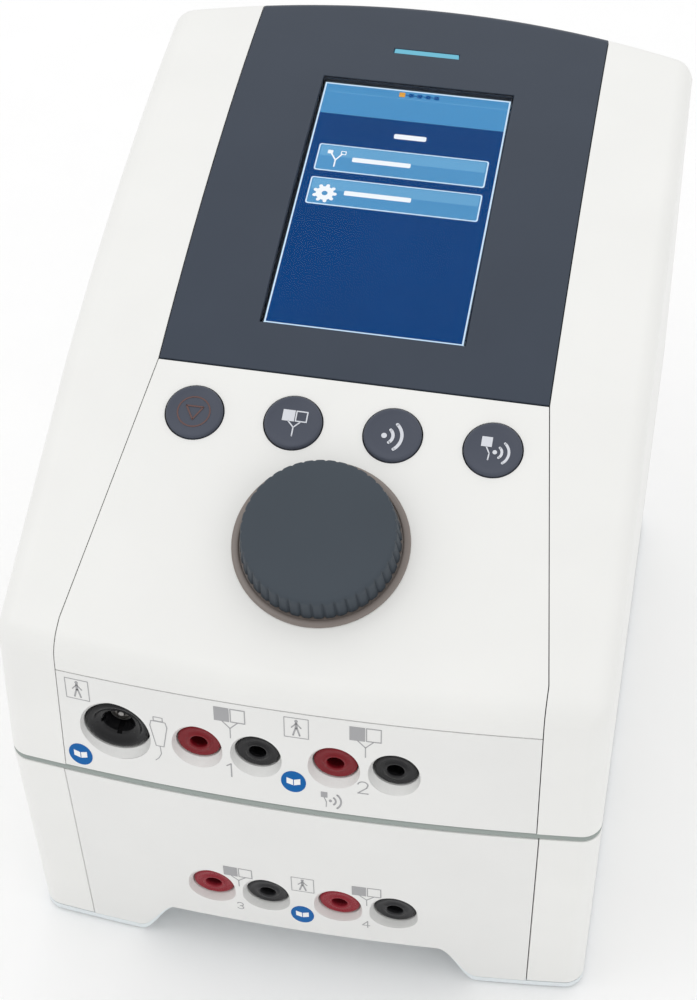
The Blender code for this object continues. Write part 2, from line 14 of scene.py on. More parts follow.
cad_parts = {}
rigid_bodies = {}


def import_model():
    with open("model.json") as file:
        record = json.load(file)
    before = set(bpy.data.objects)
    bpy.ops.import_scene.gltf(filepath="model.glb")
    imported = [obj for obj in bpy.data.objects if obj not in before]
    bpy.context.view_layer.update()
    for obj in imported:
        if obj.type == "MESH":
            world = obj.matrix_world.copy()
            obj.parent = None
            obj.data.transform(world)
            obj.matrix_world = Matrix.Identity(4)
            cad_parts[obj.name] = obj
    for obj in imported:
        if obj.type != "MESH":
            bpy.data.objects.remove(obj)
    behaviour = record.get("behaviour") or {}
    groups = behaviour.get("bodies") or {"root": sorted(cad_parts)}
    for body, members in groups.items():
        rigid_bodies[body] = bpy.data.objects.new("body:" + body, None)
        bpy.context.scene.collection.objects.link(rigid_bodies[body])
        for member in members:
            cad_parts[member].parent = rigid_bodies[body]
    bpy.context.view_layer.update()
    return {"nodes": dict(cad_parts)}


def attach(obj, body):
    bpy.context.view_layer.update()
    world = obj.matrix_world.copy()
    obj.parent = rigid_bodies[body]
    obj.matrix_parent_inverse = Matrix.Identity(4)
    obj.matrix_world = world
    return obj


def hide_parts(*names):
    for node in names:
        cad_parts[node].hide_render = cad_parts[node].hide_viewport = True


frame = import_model()

MM = 0.001
GAP = 0.3
PRINT_T = 0.05  # printed marks stand this far off their surface

# Outline, as in the CAD.
HALF_WIDTH = 94.1
BASE_HALF_WIDTH = 96.2
CORNER_R = 6.0
FRONT_BOW_R = 780.0
REAR_BOW_R = 270.0
Y_FRONT, Y_REAR = -136.0, 136.0
FLARE = 2.3e-4
JOINT_Y, JOINT_Z = -38.8, 195.5
DECK_SLOPE = math.radians(21.9)
PANEL_RISE, PANEL_BEND = 0.3103, 0.000817
FRONT_EDGE_R, REAR_EDGE_R = 9.0, 5.0
LIP_Z = 146.9
PANEL_HALF = 63.2
DECK_SPREAD, SPREAD_RUN = 0.137, 85.0
BASE_PANEL_HALF = 77.3
GASKET_LOW, GASKET_HIGH = 97.35, 99.85
UPPER_BOTTOM, BASE_TOP = GASKET_HIGH + GAP, GASKET_LOW - GAP
BASE_TAPER, REAR_TAPER = math.radians(5.7), math.radians(1.5)
TRAY_LOW, TRAY_T = 0.8, 3.1
ARCH_Z, ARCH_INNER, ARCH_OUTER = 18.0, 46.0, 60.0
NOTCH_Z = 212.0

# Walls of the visible shells, which may be thinner than the CAD's.
UPPER_SHELL_T, SHELL_T, SHEET_T, PANEL_T = 2.2, 3.0, 2.8, 4.6

# Controls, display and sockets. Their places are the CAD's.
KEY_HOLE_R, KEY_PITCH, KEY_ROW, KEY_ARC = 9.6, 31.8, 17.5, 0.65
KEYS = ("stop", "electrotherapy", "ultrasound", "combination")
DIAL_ROW, DIAL_FLUTES = 56.2, 42
WINDOW_HALF = 33.6
WINDOW_Y0, WINDOW_Y1 = JOINT_Y + 17.7, JOINT_Y + 128.0
LIGHT_BAR_Y, LIGHT_BAR_HALF, LIGHT_BAR_T = JOINT_Y + 145.5, 11.7, 1.3
BACK_Y = LIGHT_BAR_Y + LIGHT_BAR_T  # behind this the rows of the top follow the bowed rear wall
CHANNEL_X, JACK_PITCH, JACK_R, JACK_SUNK, SOCKET_LIP = 21.8, 18.9, 7.05, 2.7, 1.8
UPPER_ROW_Z, LOWER_ROW_Z = 122.0, 39.8
APPLICATOR_X, APPLICATOR_R = -58.0, 10.55
INLET_HALF_X, INLET_LOW, INLET_HIGH = 30.3, 111.7, 140.3
VENT_PITCH, VENT_HALF, VENT_LOW, VENT_HIGH = 8.0, 1.5, 156.0, 188.0
REAR_LEVELS = (NOTCH_Z, VENT_HIGH, VENT_LOW, INLET_HIGH, INLET_LOW, UPPER_BOTTOM)
LIT_X, LIT_Y, LIT_DEPTH = 32.4, 54.4, 1.9  # half the lit area, and its depth behind the chord
HEADER_HALF, RULE_Y, DOT_ROW_Y, TITLE_Y = 7.1, 50.6, 52.4, 32.6  # the lit page, from its centre
DRAWN_KEYS = ((19.6, 12.4), (4.2, 14.2))  # height on the page, and length of the label
BOARD_TOP = 151.7

# The camera stands where the photograph was taken from.
CAMERA_AT = (0.096015, -0.560947, 0.668426)
CAMERA_LOOKS = (-0.129911, 0.698582, -0.703638)
CAMERA_LENS = 80.58  # mm, on a 36 mm sensor along the long side


# ------------------------------------------------------------------ shape rules


def front_y(x):
    return Y_FRONT + x * x / (2 * FRONT_BOW_R)


def rear_y(x):
    return Y_REAR - x * x / (2 * REAR_BOW_R)


def flared(x, z):
    return x * (1 + FLARE * (JOINT_Z - z))


def panel_slope(y):
    return PANEL_RISE - 2 * PANEL_BEND * (y - JOINT_Y)


def top_z(y, inset=0.0):
    run = y - JOINT_Y
    if run <= 0:
        return JOINT_Z + math.tan(DECK_SLOPE) * run - inset / math.cos(DECK_SLOPE)
    return JOINT_Z + PANEL_RISE * run - PANEL_BEND * run * run - inset * math.hypot(1, panel_slope(y))


def deck_half(y):
    return PANEL_HALF + DECK_SPREAD * min(max(JOINT_Y - y, 0.0), SPREAD_RUN)


def arch_z(x):
    t = min(max((ARCH_OUTER - abs(x)) / (ARCH_OUTER - ARCH_INNER), 0.0), 1.0)
    return TRAY_LOW + (ARCH_Z - TRAY_LOW) * t * t * (3 - 2 * t)


def spaced(low, high, count):
    return [low + (high - low) * i / (count - 1) for i in range(count)]


def side_stations(flat_end, half, radius, flats=5, steps=7):
    """(x, inset) across the right cheek, from its seam to its flat side."""
    flat = [(x, 0.0) for x in spaced(flat_end, half - radius, flats)]
    angles = [math.pi / 2 * i / steps for i in range(1, steps + 1)]
    return flat + [(half - radius + radius * math.sin(a), radius * (1 - math.cos(a))) for a in angles]


def upper_point(row, x, inset=0.0):
    """(y, z) on the upper unit's skin, in the row named by (kind, value)."""
    kind, value = row
    if kind == "face":
        return front_y(x) + inset, value
    if kind == "front":
        centre_y = front_y(x) + FRONT_EDGE_R
        angle = math.pi + (DECK_SLOPE - math.pi / 2) * value
        radius = max(FRONT_EDGE_R - inset, 0.2)
        return centre_y + radius * math.cos(angle), top_z(centre_y, FRONT_EDGE_R) + radius * math.sin(angle)
    if kind == "top":
        # A row of the top never starts in front of the end of the rounded edge.
        edge_end = front_y(x) + FRONT_EDGE_R - (FRONT_EDGE_R - inset) * math.sin(DECK_SLOPE)
        y = max(value, edge_end + 0.5)
        return y, top_z(y, inset)
    end = rear_y(x) - REAR_EDGE_R
    if kind == "back":
        y = BACK_Y + (end - BACK_Y) * value
        return y, top_z(y, inset)
    if kind == "rear":
        angle = (math.pi / 2 + math.atan(panel_slope(end))) * (1 - value)
        radius = max(REAR_EDGE_R - inset, 0.2)
        return end + radius * math.cos(angle), top_z(end, REAR_EDGE_R) + radius * math.sin(angle)
    return rear_y(x) - inset, value


def base_y(x, z, side, inset=0.0):
    """Front (side -1) or rear (side 1) of the base unit, which lean in towards the table."""
    drop = BASE_TOP - z
    if side < 0:
        return front_y(x) + inset + math.tan(BASE_TAPER) * drop
    return rear_y(x) - inset - math.tan(REAR_TAPER) * drop


def arch_stations():
    flank = spaced(ARCH_INNER, ARCH_OUTER, 17)
    return [-x for x in reversed(flank)] + spaced(-ARCH_INNER, ARCH_INNER, 13)[1:-1] + flank


def jack_places():
    return [side * CHANNEL_X + offset for side in (-1, 1) for offset in (-JACK_PITCH / 2, JACK_PITCH / 2)]


# ----------------------------------------------------------------------- frames


def deck_frame(x, run, height=0.0):
    turn = Matrix.Rotation(DECK_SLOPE, 4, "X")
    return Matrix.Translation(Vector((x, JOINT_Y, JOINT_Z)) + turn @ Vector((0, -run, height))) @ turn


def face_frame(x, z, sunk=0.0):
    """Local +Z points out of the front face, +Y up and +X to the operator's right."""
    tilt = BASE_TAPER if z < GASKET_LOW else 0.0
    surface = front_y(x) + math.tan(tilt) * max(BASE_TOP - z, 0.0)
    turn = Matrix.Rotation(math.pi / 2 + tilt, 4, "X")
    return Matrix.Translation(Vector((x, surface, z)) + turn @ Vector((0, 0, -sunk))) @ turn


def print_frame(x, z):
    """As face_frame, but turned with the bow of the face and on the upper unit's flared skin."""
    at = face_frame(x / (1 + FLARE * (JOINT_Z - z)) if z > GASKET_HIGH else x, z)
    at.translation.x = x
    bow = Matrix.Rotation(math.atan(x / FRONT_BOW_R), 4, "Z")
    return Matrix.Translation(at.translation) @ bow @ at.to_3x3().to_4x4()


def rear_frame(x, z, sunk=0.0):
    turn = Matrix.Rotation(math.pi, 4, "Z") @ Matrix.Rotation(math.pi / 2, 4, "X")
    return Matrix.Translation((x, rear_y(x) - sunk, z)) @ turn


def screen_frame():
    rise, run = top_z(WINDOW_Y1) - top_z(WINDOW_Y0), WINDOW_Y1 - WINDOW_Y0
    middle = Vector((0, (WINDOW_Y0 + WINDOW_Y1) / 2, (top_z(WINDOW_Y0) + top_z(WINDOW_Y1)) / 2))
    return Matrix.Translation(middle) @ Matrix.Rotation(math.atan2(rise, run), 4, "X")


def key_frame(index):
    arc = KEY_ARC if index in (1, 2) else 0.0
    return deck_frame((index - 1.5) * KEY_PITCH, KEY_ROW - arc)


# -------------------------------------------------------------------- materials


def surface(name, colour, rough, grain=2600.0, bump=0.12, depth=0.00002, spread=0.03, **inputs):
    """Moulded or machined surface: fine grain in the bump, slow drift in the colour and the gloss."""
    made = bpy.data.materials.new(name)
    made.use_nodes = True
    nodes, links = made.node_tree.nodes, made.node_tree.links
    shader = nodes["Principled BSDF"]
    coords = nodes.new("ShaderNodeTexCoord")
    fine, slow = nodes.new("ShaderNodeTexNoise"), nodes.new("ShaderNodeTexNoise")
    fine.inputs["Scale"].default_value, fine.inputs["Detail"].default_value = grain, 4
    slow.inputs["Scale"].default_value, slow.inputs["Detail"].default_value = 35, 3
    for noise in (fine, slow):
        links.new(coords.outputs["Object"], noise.inputs["Vector"])
    ramp = nodes.new("ShaderNodeValToRGB")
    for stop, at, share in ((0, 0.3, 1 - spread), (1, 0.7, 1 + spread)):
        ramp.color_ramp.elements[stop].position = at
        ramp.color_ramp.elements[stop].color = (*[min(c * share, 1.0) for c in colour], 1)
    links.new(slow.outputs["Fac"], ramp.inputs["Fac"])
    links.new(ramp.outputs["Color"], shader.inputs["Base Color"])
    gloss = nodes.new("ShaderNodeMapRange")
    gloss.inputs["To Min"].default_value, gloss.inputs["To Max"].default_value = rough - 0.04, rough + 0.04
    links.new(fine.outputs["Fac"], gloss.inputs["Value"])
    links.new(gloss.outputs["Result"], shader.inputs["Roughness"])
    relief = nodes.new("ShaderNodeBump")
    relief.inputs["Strength"].default_value, relief.inputs["Distance"].default_value = bump, depth
    links.new(fine.outputs["Fac"], relief.inputs["Height"])
    links.new(relief.outputs["Normal"], shader.inputs["Normal"])
    for key, value in inputs.items():
        shader.inputs[key.replace("_", " ")].default_value = value
    return made


def lit(name, colour, strength, low=0.97):
    """A lit area: its own colour, with the faint unevenness of a backlight."""
    made = bpy.data.materials.new(name)
    made.use_nodes = True
    nodes, links = made.node_tree.nodes, made.node_tree.links
    shader = nodes["Principled BSDF"]
    coords, noise = nodes.new("ShaderNodeTexCoord"), nodes.new("ShaderNodeTexNoise")
    noise.inputs["Scale"].default_value = 22
    links.new(coords.outputs["Object"], noise.inputs["Vector"])
    ramp = nodes.new("ShaderNodeValToRGB")
    for stop, share in ((0, low), (1, 2 - low)):
        ramp.color_ramp.elements[stop].color = (*[min(c * share, 1.0) for c in colour], 1)
    links.new(noise.outputs["Fac"], ramp.inputs["Fac"])
    links.new(ramp.outputs["Color"], shader.inputs["Emission Color"])
    shader.inputs["Emission Strength"].default_value = strength
    shader.inputs["Base Color"].default_value = (0.004, 0.004, 0.005, 1)
    shader.inputs["Specular IOR Level"].default_value = 0.0
    return made


def clear_window(name):
    made = surface(name, (0.97, 0.98, 1.0), 0.06, grain=60, bump=0.01, spread=0.0)
    shader = made.node_tree.nodes["Principled BSDF"]
    shader.inputs["Transmission Weight"].default_value = 1.0
    shader.inputs["IOR"].default_value = 1.1
    return made


WHITE = surface("white_plastic", (0.83, 0.83, 0.81), 0.38, spread=0.012)
# A darker copy of the white plastic for the front socket panels: the darker colour is painted shade for the
# forward faces, which get less of the overhead light.
WHITE_WITH_PAINTED_SHADE = surface("white_plastic_with_painted_shade", (0.80, 0.80, 0.785), 0.42, spread=0.012)
# The tray's grey is raised about 1.4 times above its own tone: painted light, making up for the dim light low
# under the base.
TRAY_WITH_PAINTED_LIGHT = surface("grey_tray_plastic_with_painted_light", (0.77, 0.82, 0.84), 0.45)
SLATE = surface("slate_panel", (0.043, 0.055, 0.077), 0.42, bump=0.10, Specular_IOR_Level=0.2)
KNOB = surface("slate_knob", (0.053, 0.066, 0.081), 0.55, bump=0.16, Specular_IOR_Level=0.2)
KEY = surface("slate_key", (0.070, 0.079, 0.105), 0.36, bump=0.08, Specular_IOR_Level=0.2)
TRIM = surface("warm_grey_ring", (0.203, 0.171, 0.153), 0.3, bump=0.05, Coat_Weight=0.3, Coat_Roughness=0.2)
RUBBER = surface("grey_green_rubber", (0.31, 0.35, 0.33), 0.65, grain=1800, bump=0.2)
BLACK = surface("black_plastic", (0.010, 0.010, 0.011), 0.22, bump=0.04, Specular_IOR_Level=0.25)
# A lighter copy of the black jack plastic for the lower row of sockets: painted sheen, for the light that
# their upturned face catches.
LOWER_BLACK_WITH_PAINTED_SHEEN = surface("black_plastic_with_painted_sheen", (0.022, 0.022, 0.024), 0.3, bump=0.04, Specular_IOR_Level=0.25)
RED = surface("red_plastic", (0.19, 0.008, 0.014), 0.22, bump=0.04, Specular_IOR_Level=0.2)
# A lighter copy of the red jack plastic for the lower row of sockets: painted sheen, for the light that their
# upturned face catches.
LOWER_RED_WITH_PAINTED_SHEEN = surface("red_plastic_with_painted_sheen", (0.27, 0.018, 0.030), 0.28, bump=0.04, Specular_IOR_Level=0.2)
METAL = surface("nickel_plate", (0.70, 0.69, 0.66), 0.22, grain=900, bump=0.08, Metallic=1.0)
DARK_METAL = surface("dark_contact_metal", (0.32, 0.31, 0.30), 0.3, grain=900, bump=0.08, Metallic=1.0)
BOARD = surface("green_solder_mask", (0.02, 0.14, 0.065), 0.45, grain=500, bump=0.25, spread=0.15)
STEEL = surface("zinc_steel", (0.55, 0.56, 0.58), 0.35, grain=260, bump=0.2, spread=0.08, Metallic=1.0)
GLASS = clear_window("clear_window")
PRINT_GREY = surface("grey_print", (0.36, 0.36, 0.37), 0.5)
PRINT_PALE = surface("pale_print", (0.66, 0.68, 0.73), 0.45)
PRINT_RED = surface("dim_red_print", (0.115, 0.052, 0.045), 0.45)
PRINT_BLUE = surface("blue_print", (0.001, 0.115, 0.38), 0.4, Specular_IOR_Level=0.1)
PRINT_WHITE = surface("white_print", (0.88, 0.88, 0.88), 0.4)
SCREEN_BLUE = lit("lit_deep_blue", (0.002, 0.049, 0.195), 1.0, low=0.9)
SCREEN_BAND = lit("lit_sky_blue", (0.070, 0.283, 0.55), 1.0)
SCREEN_KEY = lit("lit_key_blue", (0.085, 0.30, 0.56), 1.0, low=0.88)
SCREEN_KEY_LIGHT = lit("lit_key_highlight", (0.14, 0.385, 0.64), 1.0, low=0.9)
SCREEN_EDGE = lit("lit_pale_edge", (0.62, 0.80, 0.95), 1.0)
SCREEN_WHITE = lit("lit_white", (0.93, 0.96, 1.0), 1.0)
SCREEN_DOT = lit("lit_dot_blue", (0.004, 0.075, 0.27), 1.0)
SCREEN_ORANGE = lit("lit_orange", (0.75, 0.36, 0.05), 1.0)
LIGHT_BAR = lit("lit_light_bar", (0.18, 0.52, 0.68), 1.0)


# ---------------------------------------------------------------- mesh building


def patch(bm, rows, skip=None):
    """Adds a sheet of four-sided faces through rows of points. skip(centre) leaves a hole."""
    grid = [[bm.verts.new(point) for point in row] for row in rows]
    for low, high in zip(grid, grid[1:]):
        for i in range(len(low) - 1):
            corners = (low[i], low[i + 1], high[i + 1], high[i])
            if skip and skip(sum((v.co for v in corners), Vector()) / 4):
                continue
            bm.faces.new(corners)


def mirrored(bm):
    """Adds the mirror image across X = 0."""
    copy = bmesh.ops.duplicate(bm, geom=bm.verts[:] + bm.edges[:] + bm.faces[:])["geom"]
    bmesh.ops.scale(bm, vec=(-1, 1, 1), verts=[g for g in copy if isinstance(g, bmesh.types.BMVert)])


def loft(sections, around=False):
    """Closed solid through equal loops of points. around joins the last loop to the first."""
    bm = bmesh.new()
    loops = [[bm.verts.new(point) for point in section] for section in sections]
    count = len(loops[0])
    pairs = list(zip(loops, loops[1:] + loops[:1] if around else loops[1:]))
    for low, high in pairs:
        for i in range(count):
            j = (i + 1) % count
            bm.faces.new((low[i], low[j], high[j], high[i]))
    if not around:
        bm.faces.new(list(reversed(loops[0])))
        bm.faces.new(loops[-1])
    return bm


def turned(profile, segments=64, groove=None):
    """Solid of revolution about Z. groove(angle) is cut in by each point's third value."""
    bm = bmesh.new()
    rings = []
    for radius, z, *weight in profile:
        ring = []
        for i in range(1 if radius == 0 else segments):
            angle = 2 * math.pi * i / segments
            r = radius - (weight[0] * groove(angle) if groove and weight else 0.0)
            ring.append(bm.verts.new((r * math.cos(angle), r * math.sin(angle), z)))
        rings.append(ring if len(ring) > 1 else ring * segments)
    pairs = list(zip(rings, rings[1:]))
    if profile[0][0] != 0:
        pairs.append((rings[-1], rings[0]))
    for low, high in pairs:
        for i in range(segments):
            j = (i + 1) % segments
            bm.faces.new(list(dict.fromkeys((low[i], low[j], high[j], high[i]))))
    return bm


def block(*levels):
    return loft([[(-x, -y, z), (x, -y, z), (x, y, z), (-x, y, z)] for z, x, y in levels])


def piece(name, bm, look, body="chassis", at=None, stands_for=(), wall=0.0, bevel=0.0,
          cutters=(), sharp=35):
    """Finishes a mesh as a visible piece: walls, cuts, rounded edges and clean shading."""
    bmesh.ops.remove_doubles(bm, verts=bm.verts, dist=0.003)
    bmesh.ops.recalc_face_normals(bm, faces=bm.faces)
    if wall:
        inside = Vector((0, 0, 120))
        outward = sum(f.normal.dot(f.calc_center_median() - inside) * f.calc_area() for f in bm.faces)
        if outward < 0:
            bmesh.ops.reverse_faces(bm, faces=bm.faces)
    bmesh.ops.scale(bm, vec=(MM, MM, MM), verts=bm.verts)
    mesh = bpy.data.meshes.new(name)
    bm.to_mesh(mesh)
    bm.free()
    mesh.shade_smooth()
    mesh.set_sharp_from_angle(angle=math.radians(sharp))
    mesh.materials.append(look)
    obj = bpy.data.objects.new(name, mesh)
    bpy.context.scene.collection.objects.link(obj)
    if at is not None:
        obj.matrix_world = Matrix.Translation(at.translation * MM) @ at.to_3x3().to_4x4()
    if wall:
        solid = obj.modifiers.new("wall", "SOLIDIFY")
        solid.thickness, solid.offset = wall * MM, -1
    for cutter in cutters:
        cut = obj.modifiers.new("cut", "BOOLEAN")
        cut.operation, cut.object, cut.solver = "DIFFERENCE", cutter, "EXACT"
    if bevel:
        edge = obj.modifiers.new("edge", "BEVEL")
        edge.width, edge.segments, edge.limit_method = bevel * MM, 2, "ANGLE"
        edge.angle_limit = math.radians(40)
    if bevel or wall:
        weigh = obj.modifiers.new("shade", "WEIGHTED_NORMAL")
        weigh.keep_sharp = True
    apply_modifiers(obj)
    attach(obj, body)
    if stands_for:
        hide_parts(*stands_for)
    return obj


def apply_modifiers(obj):
    """Turns the piece into its final mesh, so that no helper has to stay in the scene."""
    if not obj.modifiers:
        return
    graph = bpy.context.evaluated_depsgraph_get()
    final = bpy.data.meshes.new_from_object(obj.evaluated_get(graph), depsgraph=graph)
    old, final.name = obj.data, obj.name
    obj.modifiers.clear()
    obj.data = final
    bpy.data.meshes.remove(old)


def cutter(bm, at):
    """A helper solid for a Boolean. remove_cutters() takes it away again."""
    bmesh.ops.recalc_face_normals(bm, faces=bm.faces)
    bmesh.ops.scale(bm, vec=(MM, MM, MM), verts=bm.verts)
    mesh = bpy.data.meshes.new("cutter")
    bm.to_mesh(mesh)
    bm.free()
    obj = bpy.data.objects.new("cutter", mesh)
    bpy.context.scene.collection.objects.link(obj)
    obj.matrix_world = Matrix.Translation(at.translation * MM) @ at.to_3x3().to_4x4()
    obj.hide_render = True
    return obj


def remove_cutters():
    for obj in [o for o in bpy.data.objects if o.name.startswith("cutter")]:
        bpy.data.objects.remove(obj, do_unlink=True)


# ---------------------------------------------------------------- printed marks


class Marks:
    """Flat shapes gathered into one mesh, each a thin closed plate on the local plane z = 0."""

    def __init__(self, thickness=PRINT_T, lift=0.01):
        self.bm = bmesh.new()
        self.low, self.high = lift, lift + thickness

    def plate(self, points):
        low = [self.bm.verts.new((x, y, self.low)) for x, y in points]
        high = [self.bm.verts.new((x, y, self.high)) for x, y in points]
        self.bm.faces.new(list(reversed(low)))
        self.bm.faces.new(high)
        for i in range(len(points)):
            j = (i + 1) % len(points)
            self.bm.faces.new((low[i], low[j], high[j], high[i]))
        return self

    def disc(self, x, y, radius, segments=40):
        angles = [2 * math.pi * i / segments for i in range(segments)]
        return self.plate([(x + radius * math.cos(a), y + radius * math.sin(a)) for a in angles])

    def arc(self, x, y, radius, width, start=0.0, end=360.0, steps=28):
        """Band of the given width along an arc, with its ends rounded when it isn't a full ring."""
        low, high = radius - width / 2, radius + width / 2
        angles = [math.radians(a) for a in spaced(start, end, steps + 1)]
        for a, b in zip(angles, angles[1:]):
            self.plate([(x + r * math.cos(t), y + r * math.sin(t))
                        for r, t in ((low, a), (high, a), (high, b), (low, b))])
        if end - start < 360:
            for a in (angles[0], angles[-1]):
                self.disc(x + radius * math.cos(a), y + radius * math.sin(a), width / 2, 16)
        return self

    def rounded(self, x, y, half_x, half_y, radius=0.3, steps=6):
        points = []
        for corner, (sx, sy) in enumerate(((1, 1), (-1, 1), (-1, -1), (1, -1))):
            for i in range(steps + 1):
                a = math.pi / 2 * (corner + i / steps)
                points.append((x + sx * (half_x - radius) + radius * math.cos(a),
                               y + sy * (half_y - radius) + radius * math.sin(a)))
        return self.plate(points)

    def outline(self, x, y, half_x, half_y, width):
        for sx in (-1, 1):
            self.rounded(x + sx * (half_x - width / 2), y, width / 2, half_y, width * 0.4, 3)
        for sy in (-1, 1):
            self.rounded(x, y + sy * (half_y - width / 2), half_x - width, width / 2, width * 0.1, 2)
        return self

    def line(self, points, width):
        for (x0, y0), (x1, y1) in zip(points, points[1:]):
            length = math.hypot(x1 - x0, y1 - y0)
            nx, ny = (y0 - y1) / length * width / 2, (x1 - x0) / length * width / 2
            self.plate([(x0 - nx, y0 - ny), (x1 - nx, y1 - ny), (x1 + nx, y1 + ny), (x0 + nx, y0 + ny)])
        for x, y in points:
            self.disc(x, y, width / 2, 12)
        return self

    def pads(self, x, y, size, line=0.35, tail=4.0, single=False):
        """Electrode pads: a filled and an open square on a forked lead."""
        half = size / 2
        if single:
            self.rounded(x, y, half, half, 0.1)
            return self.line([(x, y - half), (x + size * 0.35, y - half - tail * 0.5),
                              (x + size * 0.3, y - half - tail)], line)
        self.rounded(x - half - 0.12, y, half, half, 0.1)
        self.outline(x + half + 0.12, y, half, half, line)
        fork = y - half - tail * 0.4
        self.line([(x - half, y - half), (x, fork), (x + half, y - half)], line)
        return self.line([(x, fork), (x, y - half - tail)], line)

    def waves(self, x, y, size, width):
        """A dot with two arcs of sound."""
        self.disc(x, y, width * 0.85)
        self.arc(x, y, size * 0.5, width, -50, 50)
        return self.arc(x, y, size, width, -50, 50)

    def stretch(self, across, up):
        bmesh.ops.scale(self.bm, vec=(across, up, 1), verts=self.bm.verts)
        return self

    def body_sign(self, x, y, half, line=0.25):
        """Applied-part sign: a standing figure of plain strokes in a box."""
        self.outline(x, y, half, half, line)
        unit = half / 4
        self.disc(x, y + 2.7 * unit, 0.55 * unit, 20)
        self.line([(x, y + 1.9 * unit), (x, y - 0.1 * unit)], 0.85 * unit)
        for side in (-1, 1):
            self.line([(x, y + 1.8 * unit), (x + side * 1.5 * unit, y + 0.1 * unit)], 0.4 * unit)
            self.line([(x + side * 0.2 * unit, y), (x + side * 1.05 * unit, y - 2.9 * unit)], 0.55 * unit)
        return self

    def handpiece(self, x, y, height, line=0.28):
        """Outline of an ultrasound applicator with the start of its lead."""
        h = height
        side = [(x - 0.10 * h, y + 0.40 * h), (x - 0.12 * h, y + 0.30 * h), (x - 0.055 * h, y - 0.12 * h)]
        other = [(2 * x - px, py) for px, py in side]
        self.line(side + list(reversed(other)) + side[:1], line)
        self.outline(x, y + 0.45 * h, 0.07 * h, 0.045 * h, line)
        return self.line([(x, y - 0.12 * h), (x + 0.01 * h, y - 0.28 * h), (x - 0.03 * h, y - 0.38 * h),
                          (x - 0.08 * h, y - 0.44 * h)], line)

    def digit(self, number, x, y, height, line):
        h, w = height / 2, height * 0.27
        if number == 1:
            self.line([(x - w * 0.8, y + h * 0.62), (x, y + h), (x, y - h)], line)
        elif number == 2:
            self.arc(x, y + h * 0.45, w, line, 0, 170)
            self.line([(x + w, y + h * 0.45), (x + w * 0.75, y - h * 0.02), (x - w, y - h),
                       (x + w * 1.05, y - h)], line)
        elif number == 3:
            self.arc(x, y + h * 0.5, h * 0.5, line, -90, 160)
            self.arc(x, y - h * 0.5, h * 0.5, line, -160, 90)
        else:
            self.line([(x + w * 0.5, y - h), (x + w * 0.5, y + h), (x - w * 1.1, y - h * 0.35),
                       (x + w * 1.1, y - h * 0.35)], line)
        return self

    def gear(self, x, y, radius, teeth=9):
        self.arc(x, y, radius * 0.52, radius * 0.52)
        for i in range(teeth):
            a = 2 * math.pi * i / teeth
            self.line([(x + r * math.cos(a), y + r * math.sin(a)) for r in (radius * 0.7, radius * 0.9)],
                      radius * 0.34)
        return self

    def make(self, name, look, at, slot, body="chassis"):
        """The marks as a piece. Each plate is closed, so they keep apart."""
        mesh = bpy.data.meshes.new(name)
        bmesh.ops.scale(self.bm, vec=(MM, MM, MM), verts=self.bm.verts)
        bmesh.ops.recalc_face_normals(self.bm, faces=self.bm.faces)
        self.bm.to_mesh(mesh)
        self.bm.free()
        mesh.materials.append(look)
        obj = bpy.data.objects.new(name, mesh)
        bpy.context.scene.collection.objects.link(obj)
        obj.matrix_world = Matrix.Translation(at.translation * MM) @ at.to_3x3().to_4x4()
        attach(obj, body)
        return obj


# -------------------------------------------------------------------- upper unit


def upper_rows():
    rows = [("face", UPPER_BOTTOM)] + [("front", t) for t in spaced(0, 1, 10)]
    rows += [("top", y) for y in spaced(JOINT_Y - SPREAD_RUN, JOINT_Y, 4)]
    rows += [("top", y) for y in spaced(JOINT_Y, BACK_Y, 19)[1:]]
    rows += [("back", t) for t in (0.5, 1.0)] + [("rear", t) for t in spaced(0, 1, 8)[1:]]
    return rows + [("wall", z) for z in REAR_LEVELS]


def in_rear_hole(centre):
    if INLET_LOW < centre.z < INLET_HIGH:
        return abs(centre.x) < INLET_HALF_X
    nearest = VENT_PITCH * round(centre.x / VENT_PITCH)
    in_slot = abs(centre.x - nearest) < VENT_HALF and abs(nearest) < 3.5 * VENT_PITCH
    return VENT_LOW < centre.z < VENT_HIGH and in_slot


def make_upper_housing():
    bm = bmesh.new()
    rows = []
    for row in upper_rows():
        seam = deck_half(row[1]) if row[0] == "top" else deck_half(Y_FRONT)
        if row[0] in ("back", "rear", "wall"):
            seam = PANEL_HALF
        line = []
        for x, inset in side_stations(seam, HALF_WIDTH, CORNER_R):
            y, z = upper_point(row, x, inset)
            line.append((flared(x, z), y, z))
        rows.append(line)
    patch(bm, rows)
    bm.faces.new([bm.verts.new(line[-1]) for line in rows])
    mirrored(bm)
    slots = [VENT_PITCH * i + side * VENT_HALF for i in range(-3, 4) for side in (-1, 1)]
    xs = [-PANEL_HALF, -46, -INLET_HALF_X] + slots + [INLET_HALF_X, 46, PANEL_HALF]
    wall = [[(flared(x, z) if abs(x) > 60 else x, rear_y(x), z) for x in xs] for z in REAR_LEVELS]
    patch(bm, wall, in_rear_hole)
    piece("upper_shell", bm, WHITE, stands_for=["upper_housing"], wall=UPPER_SHELL_T,
          bevel=0.3)


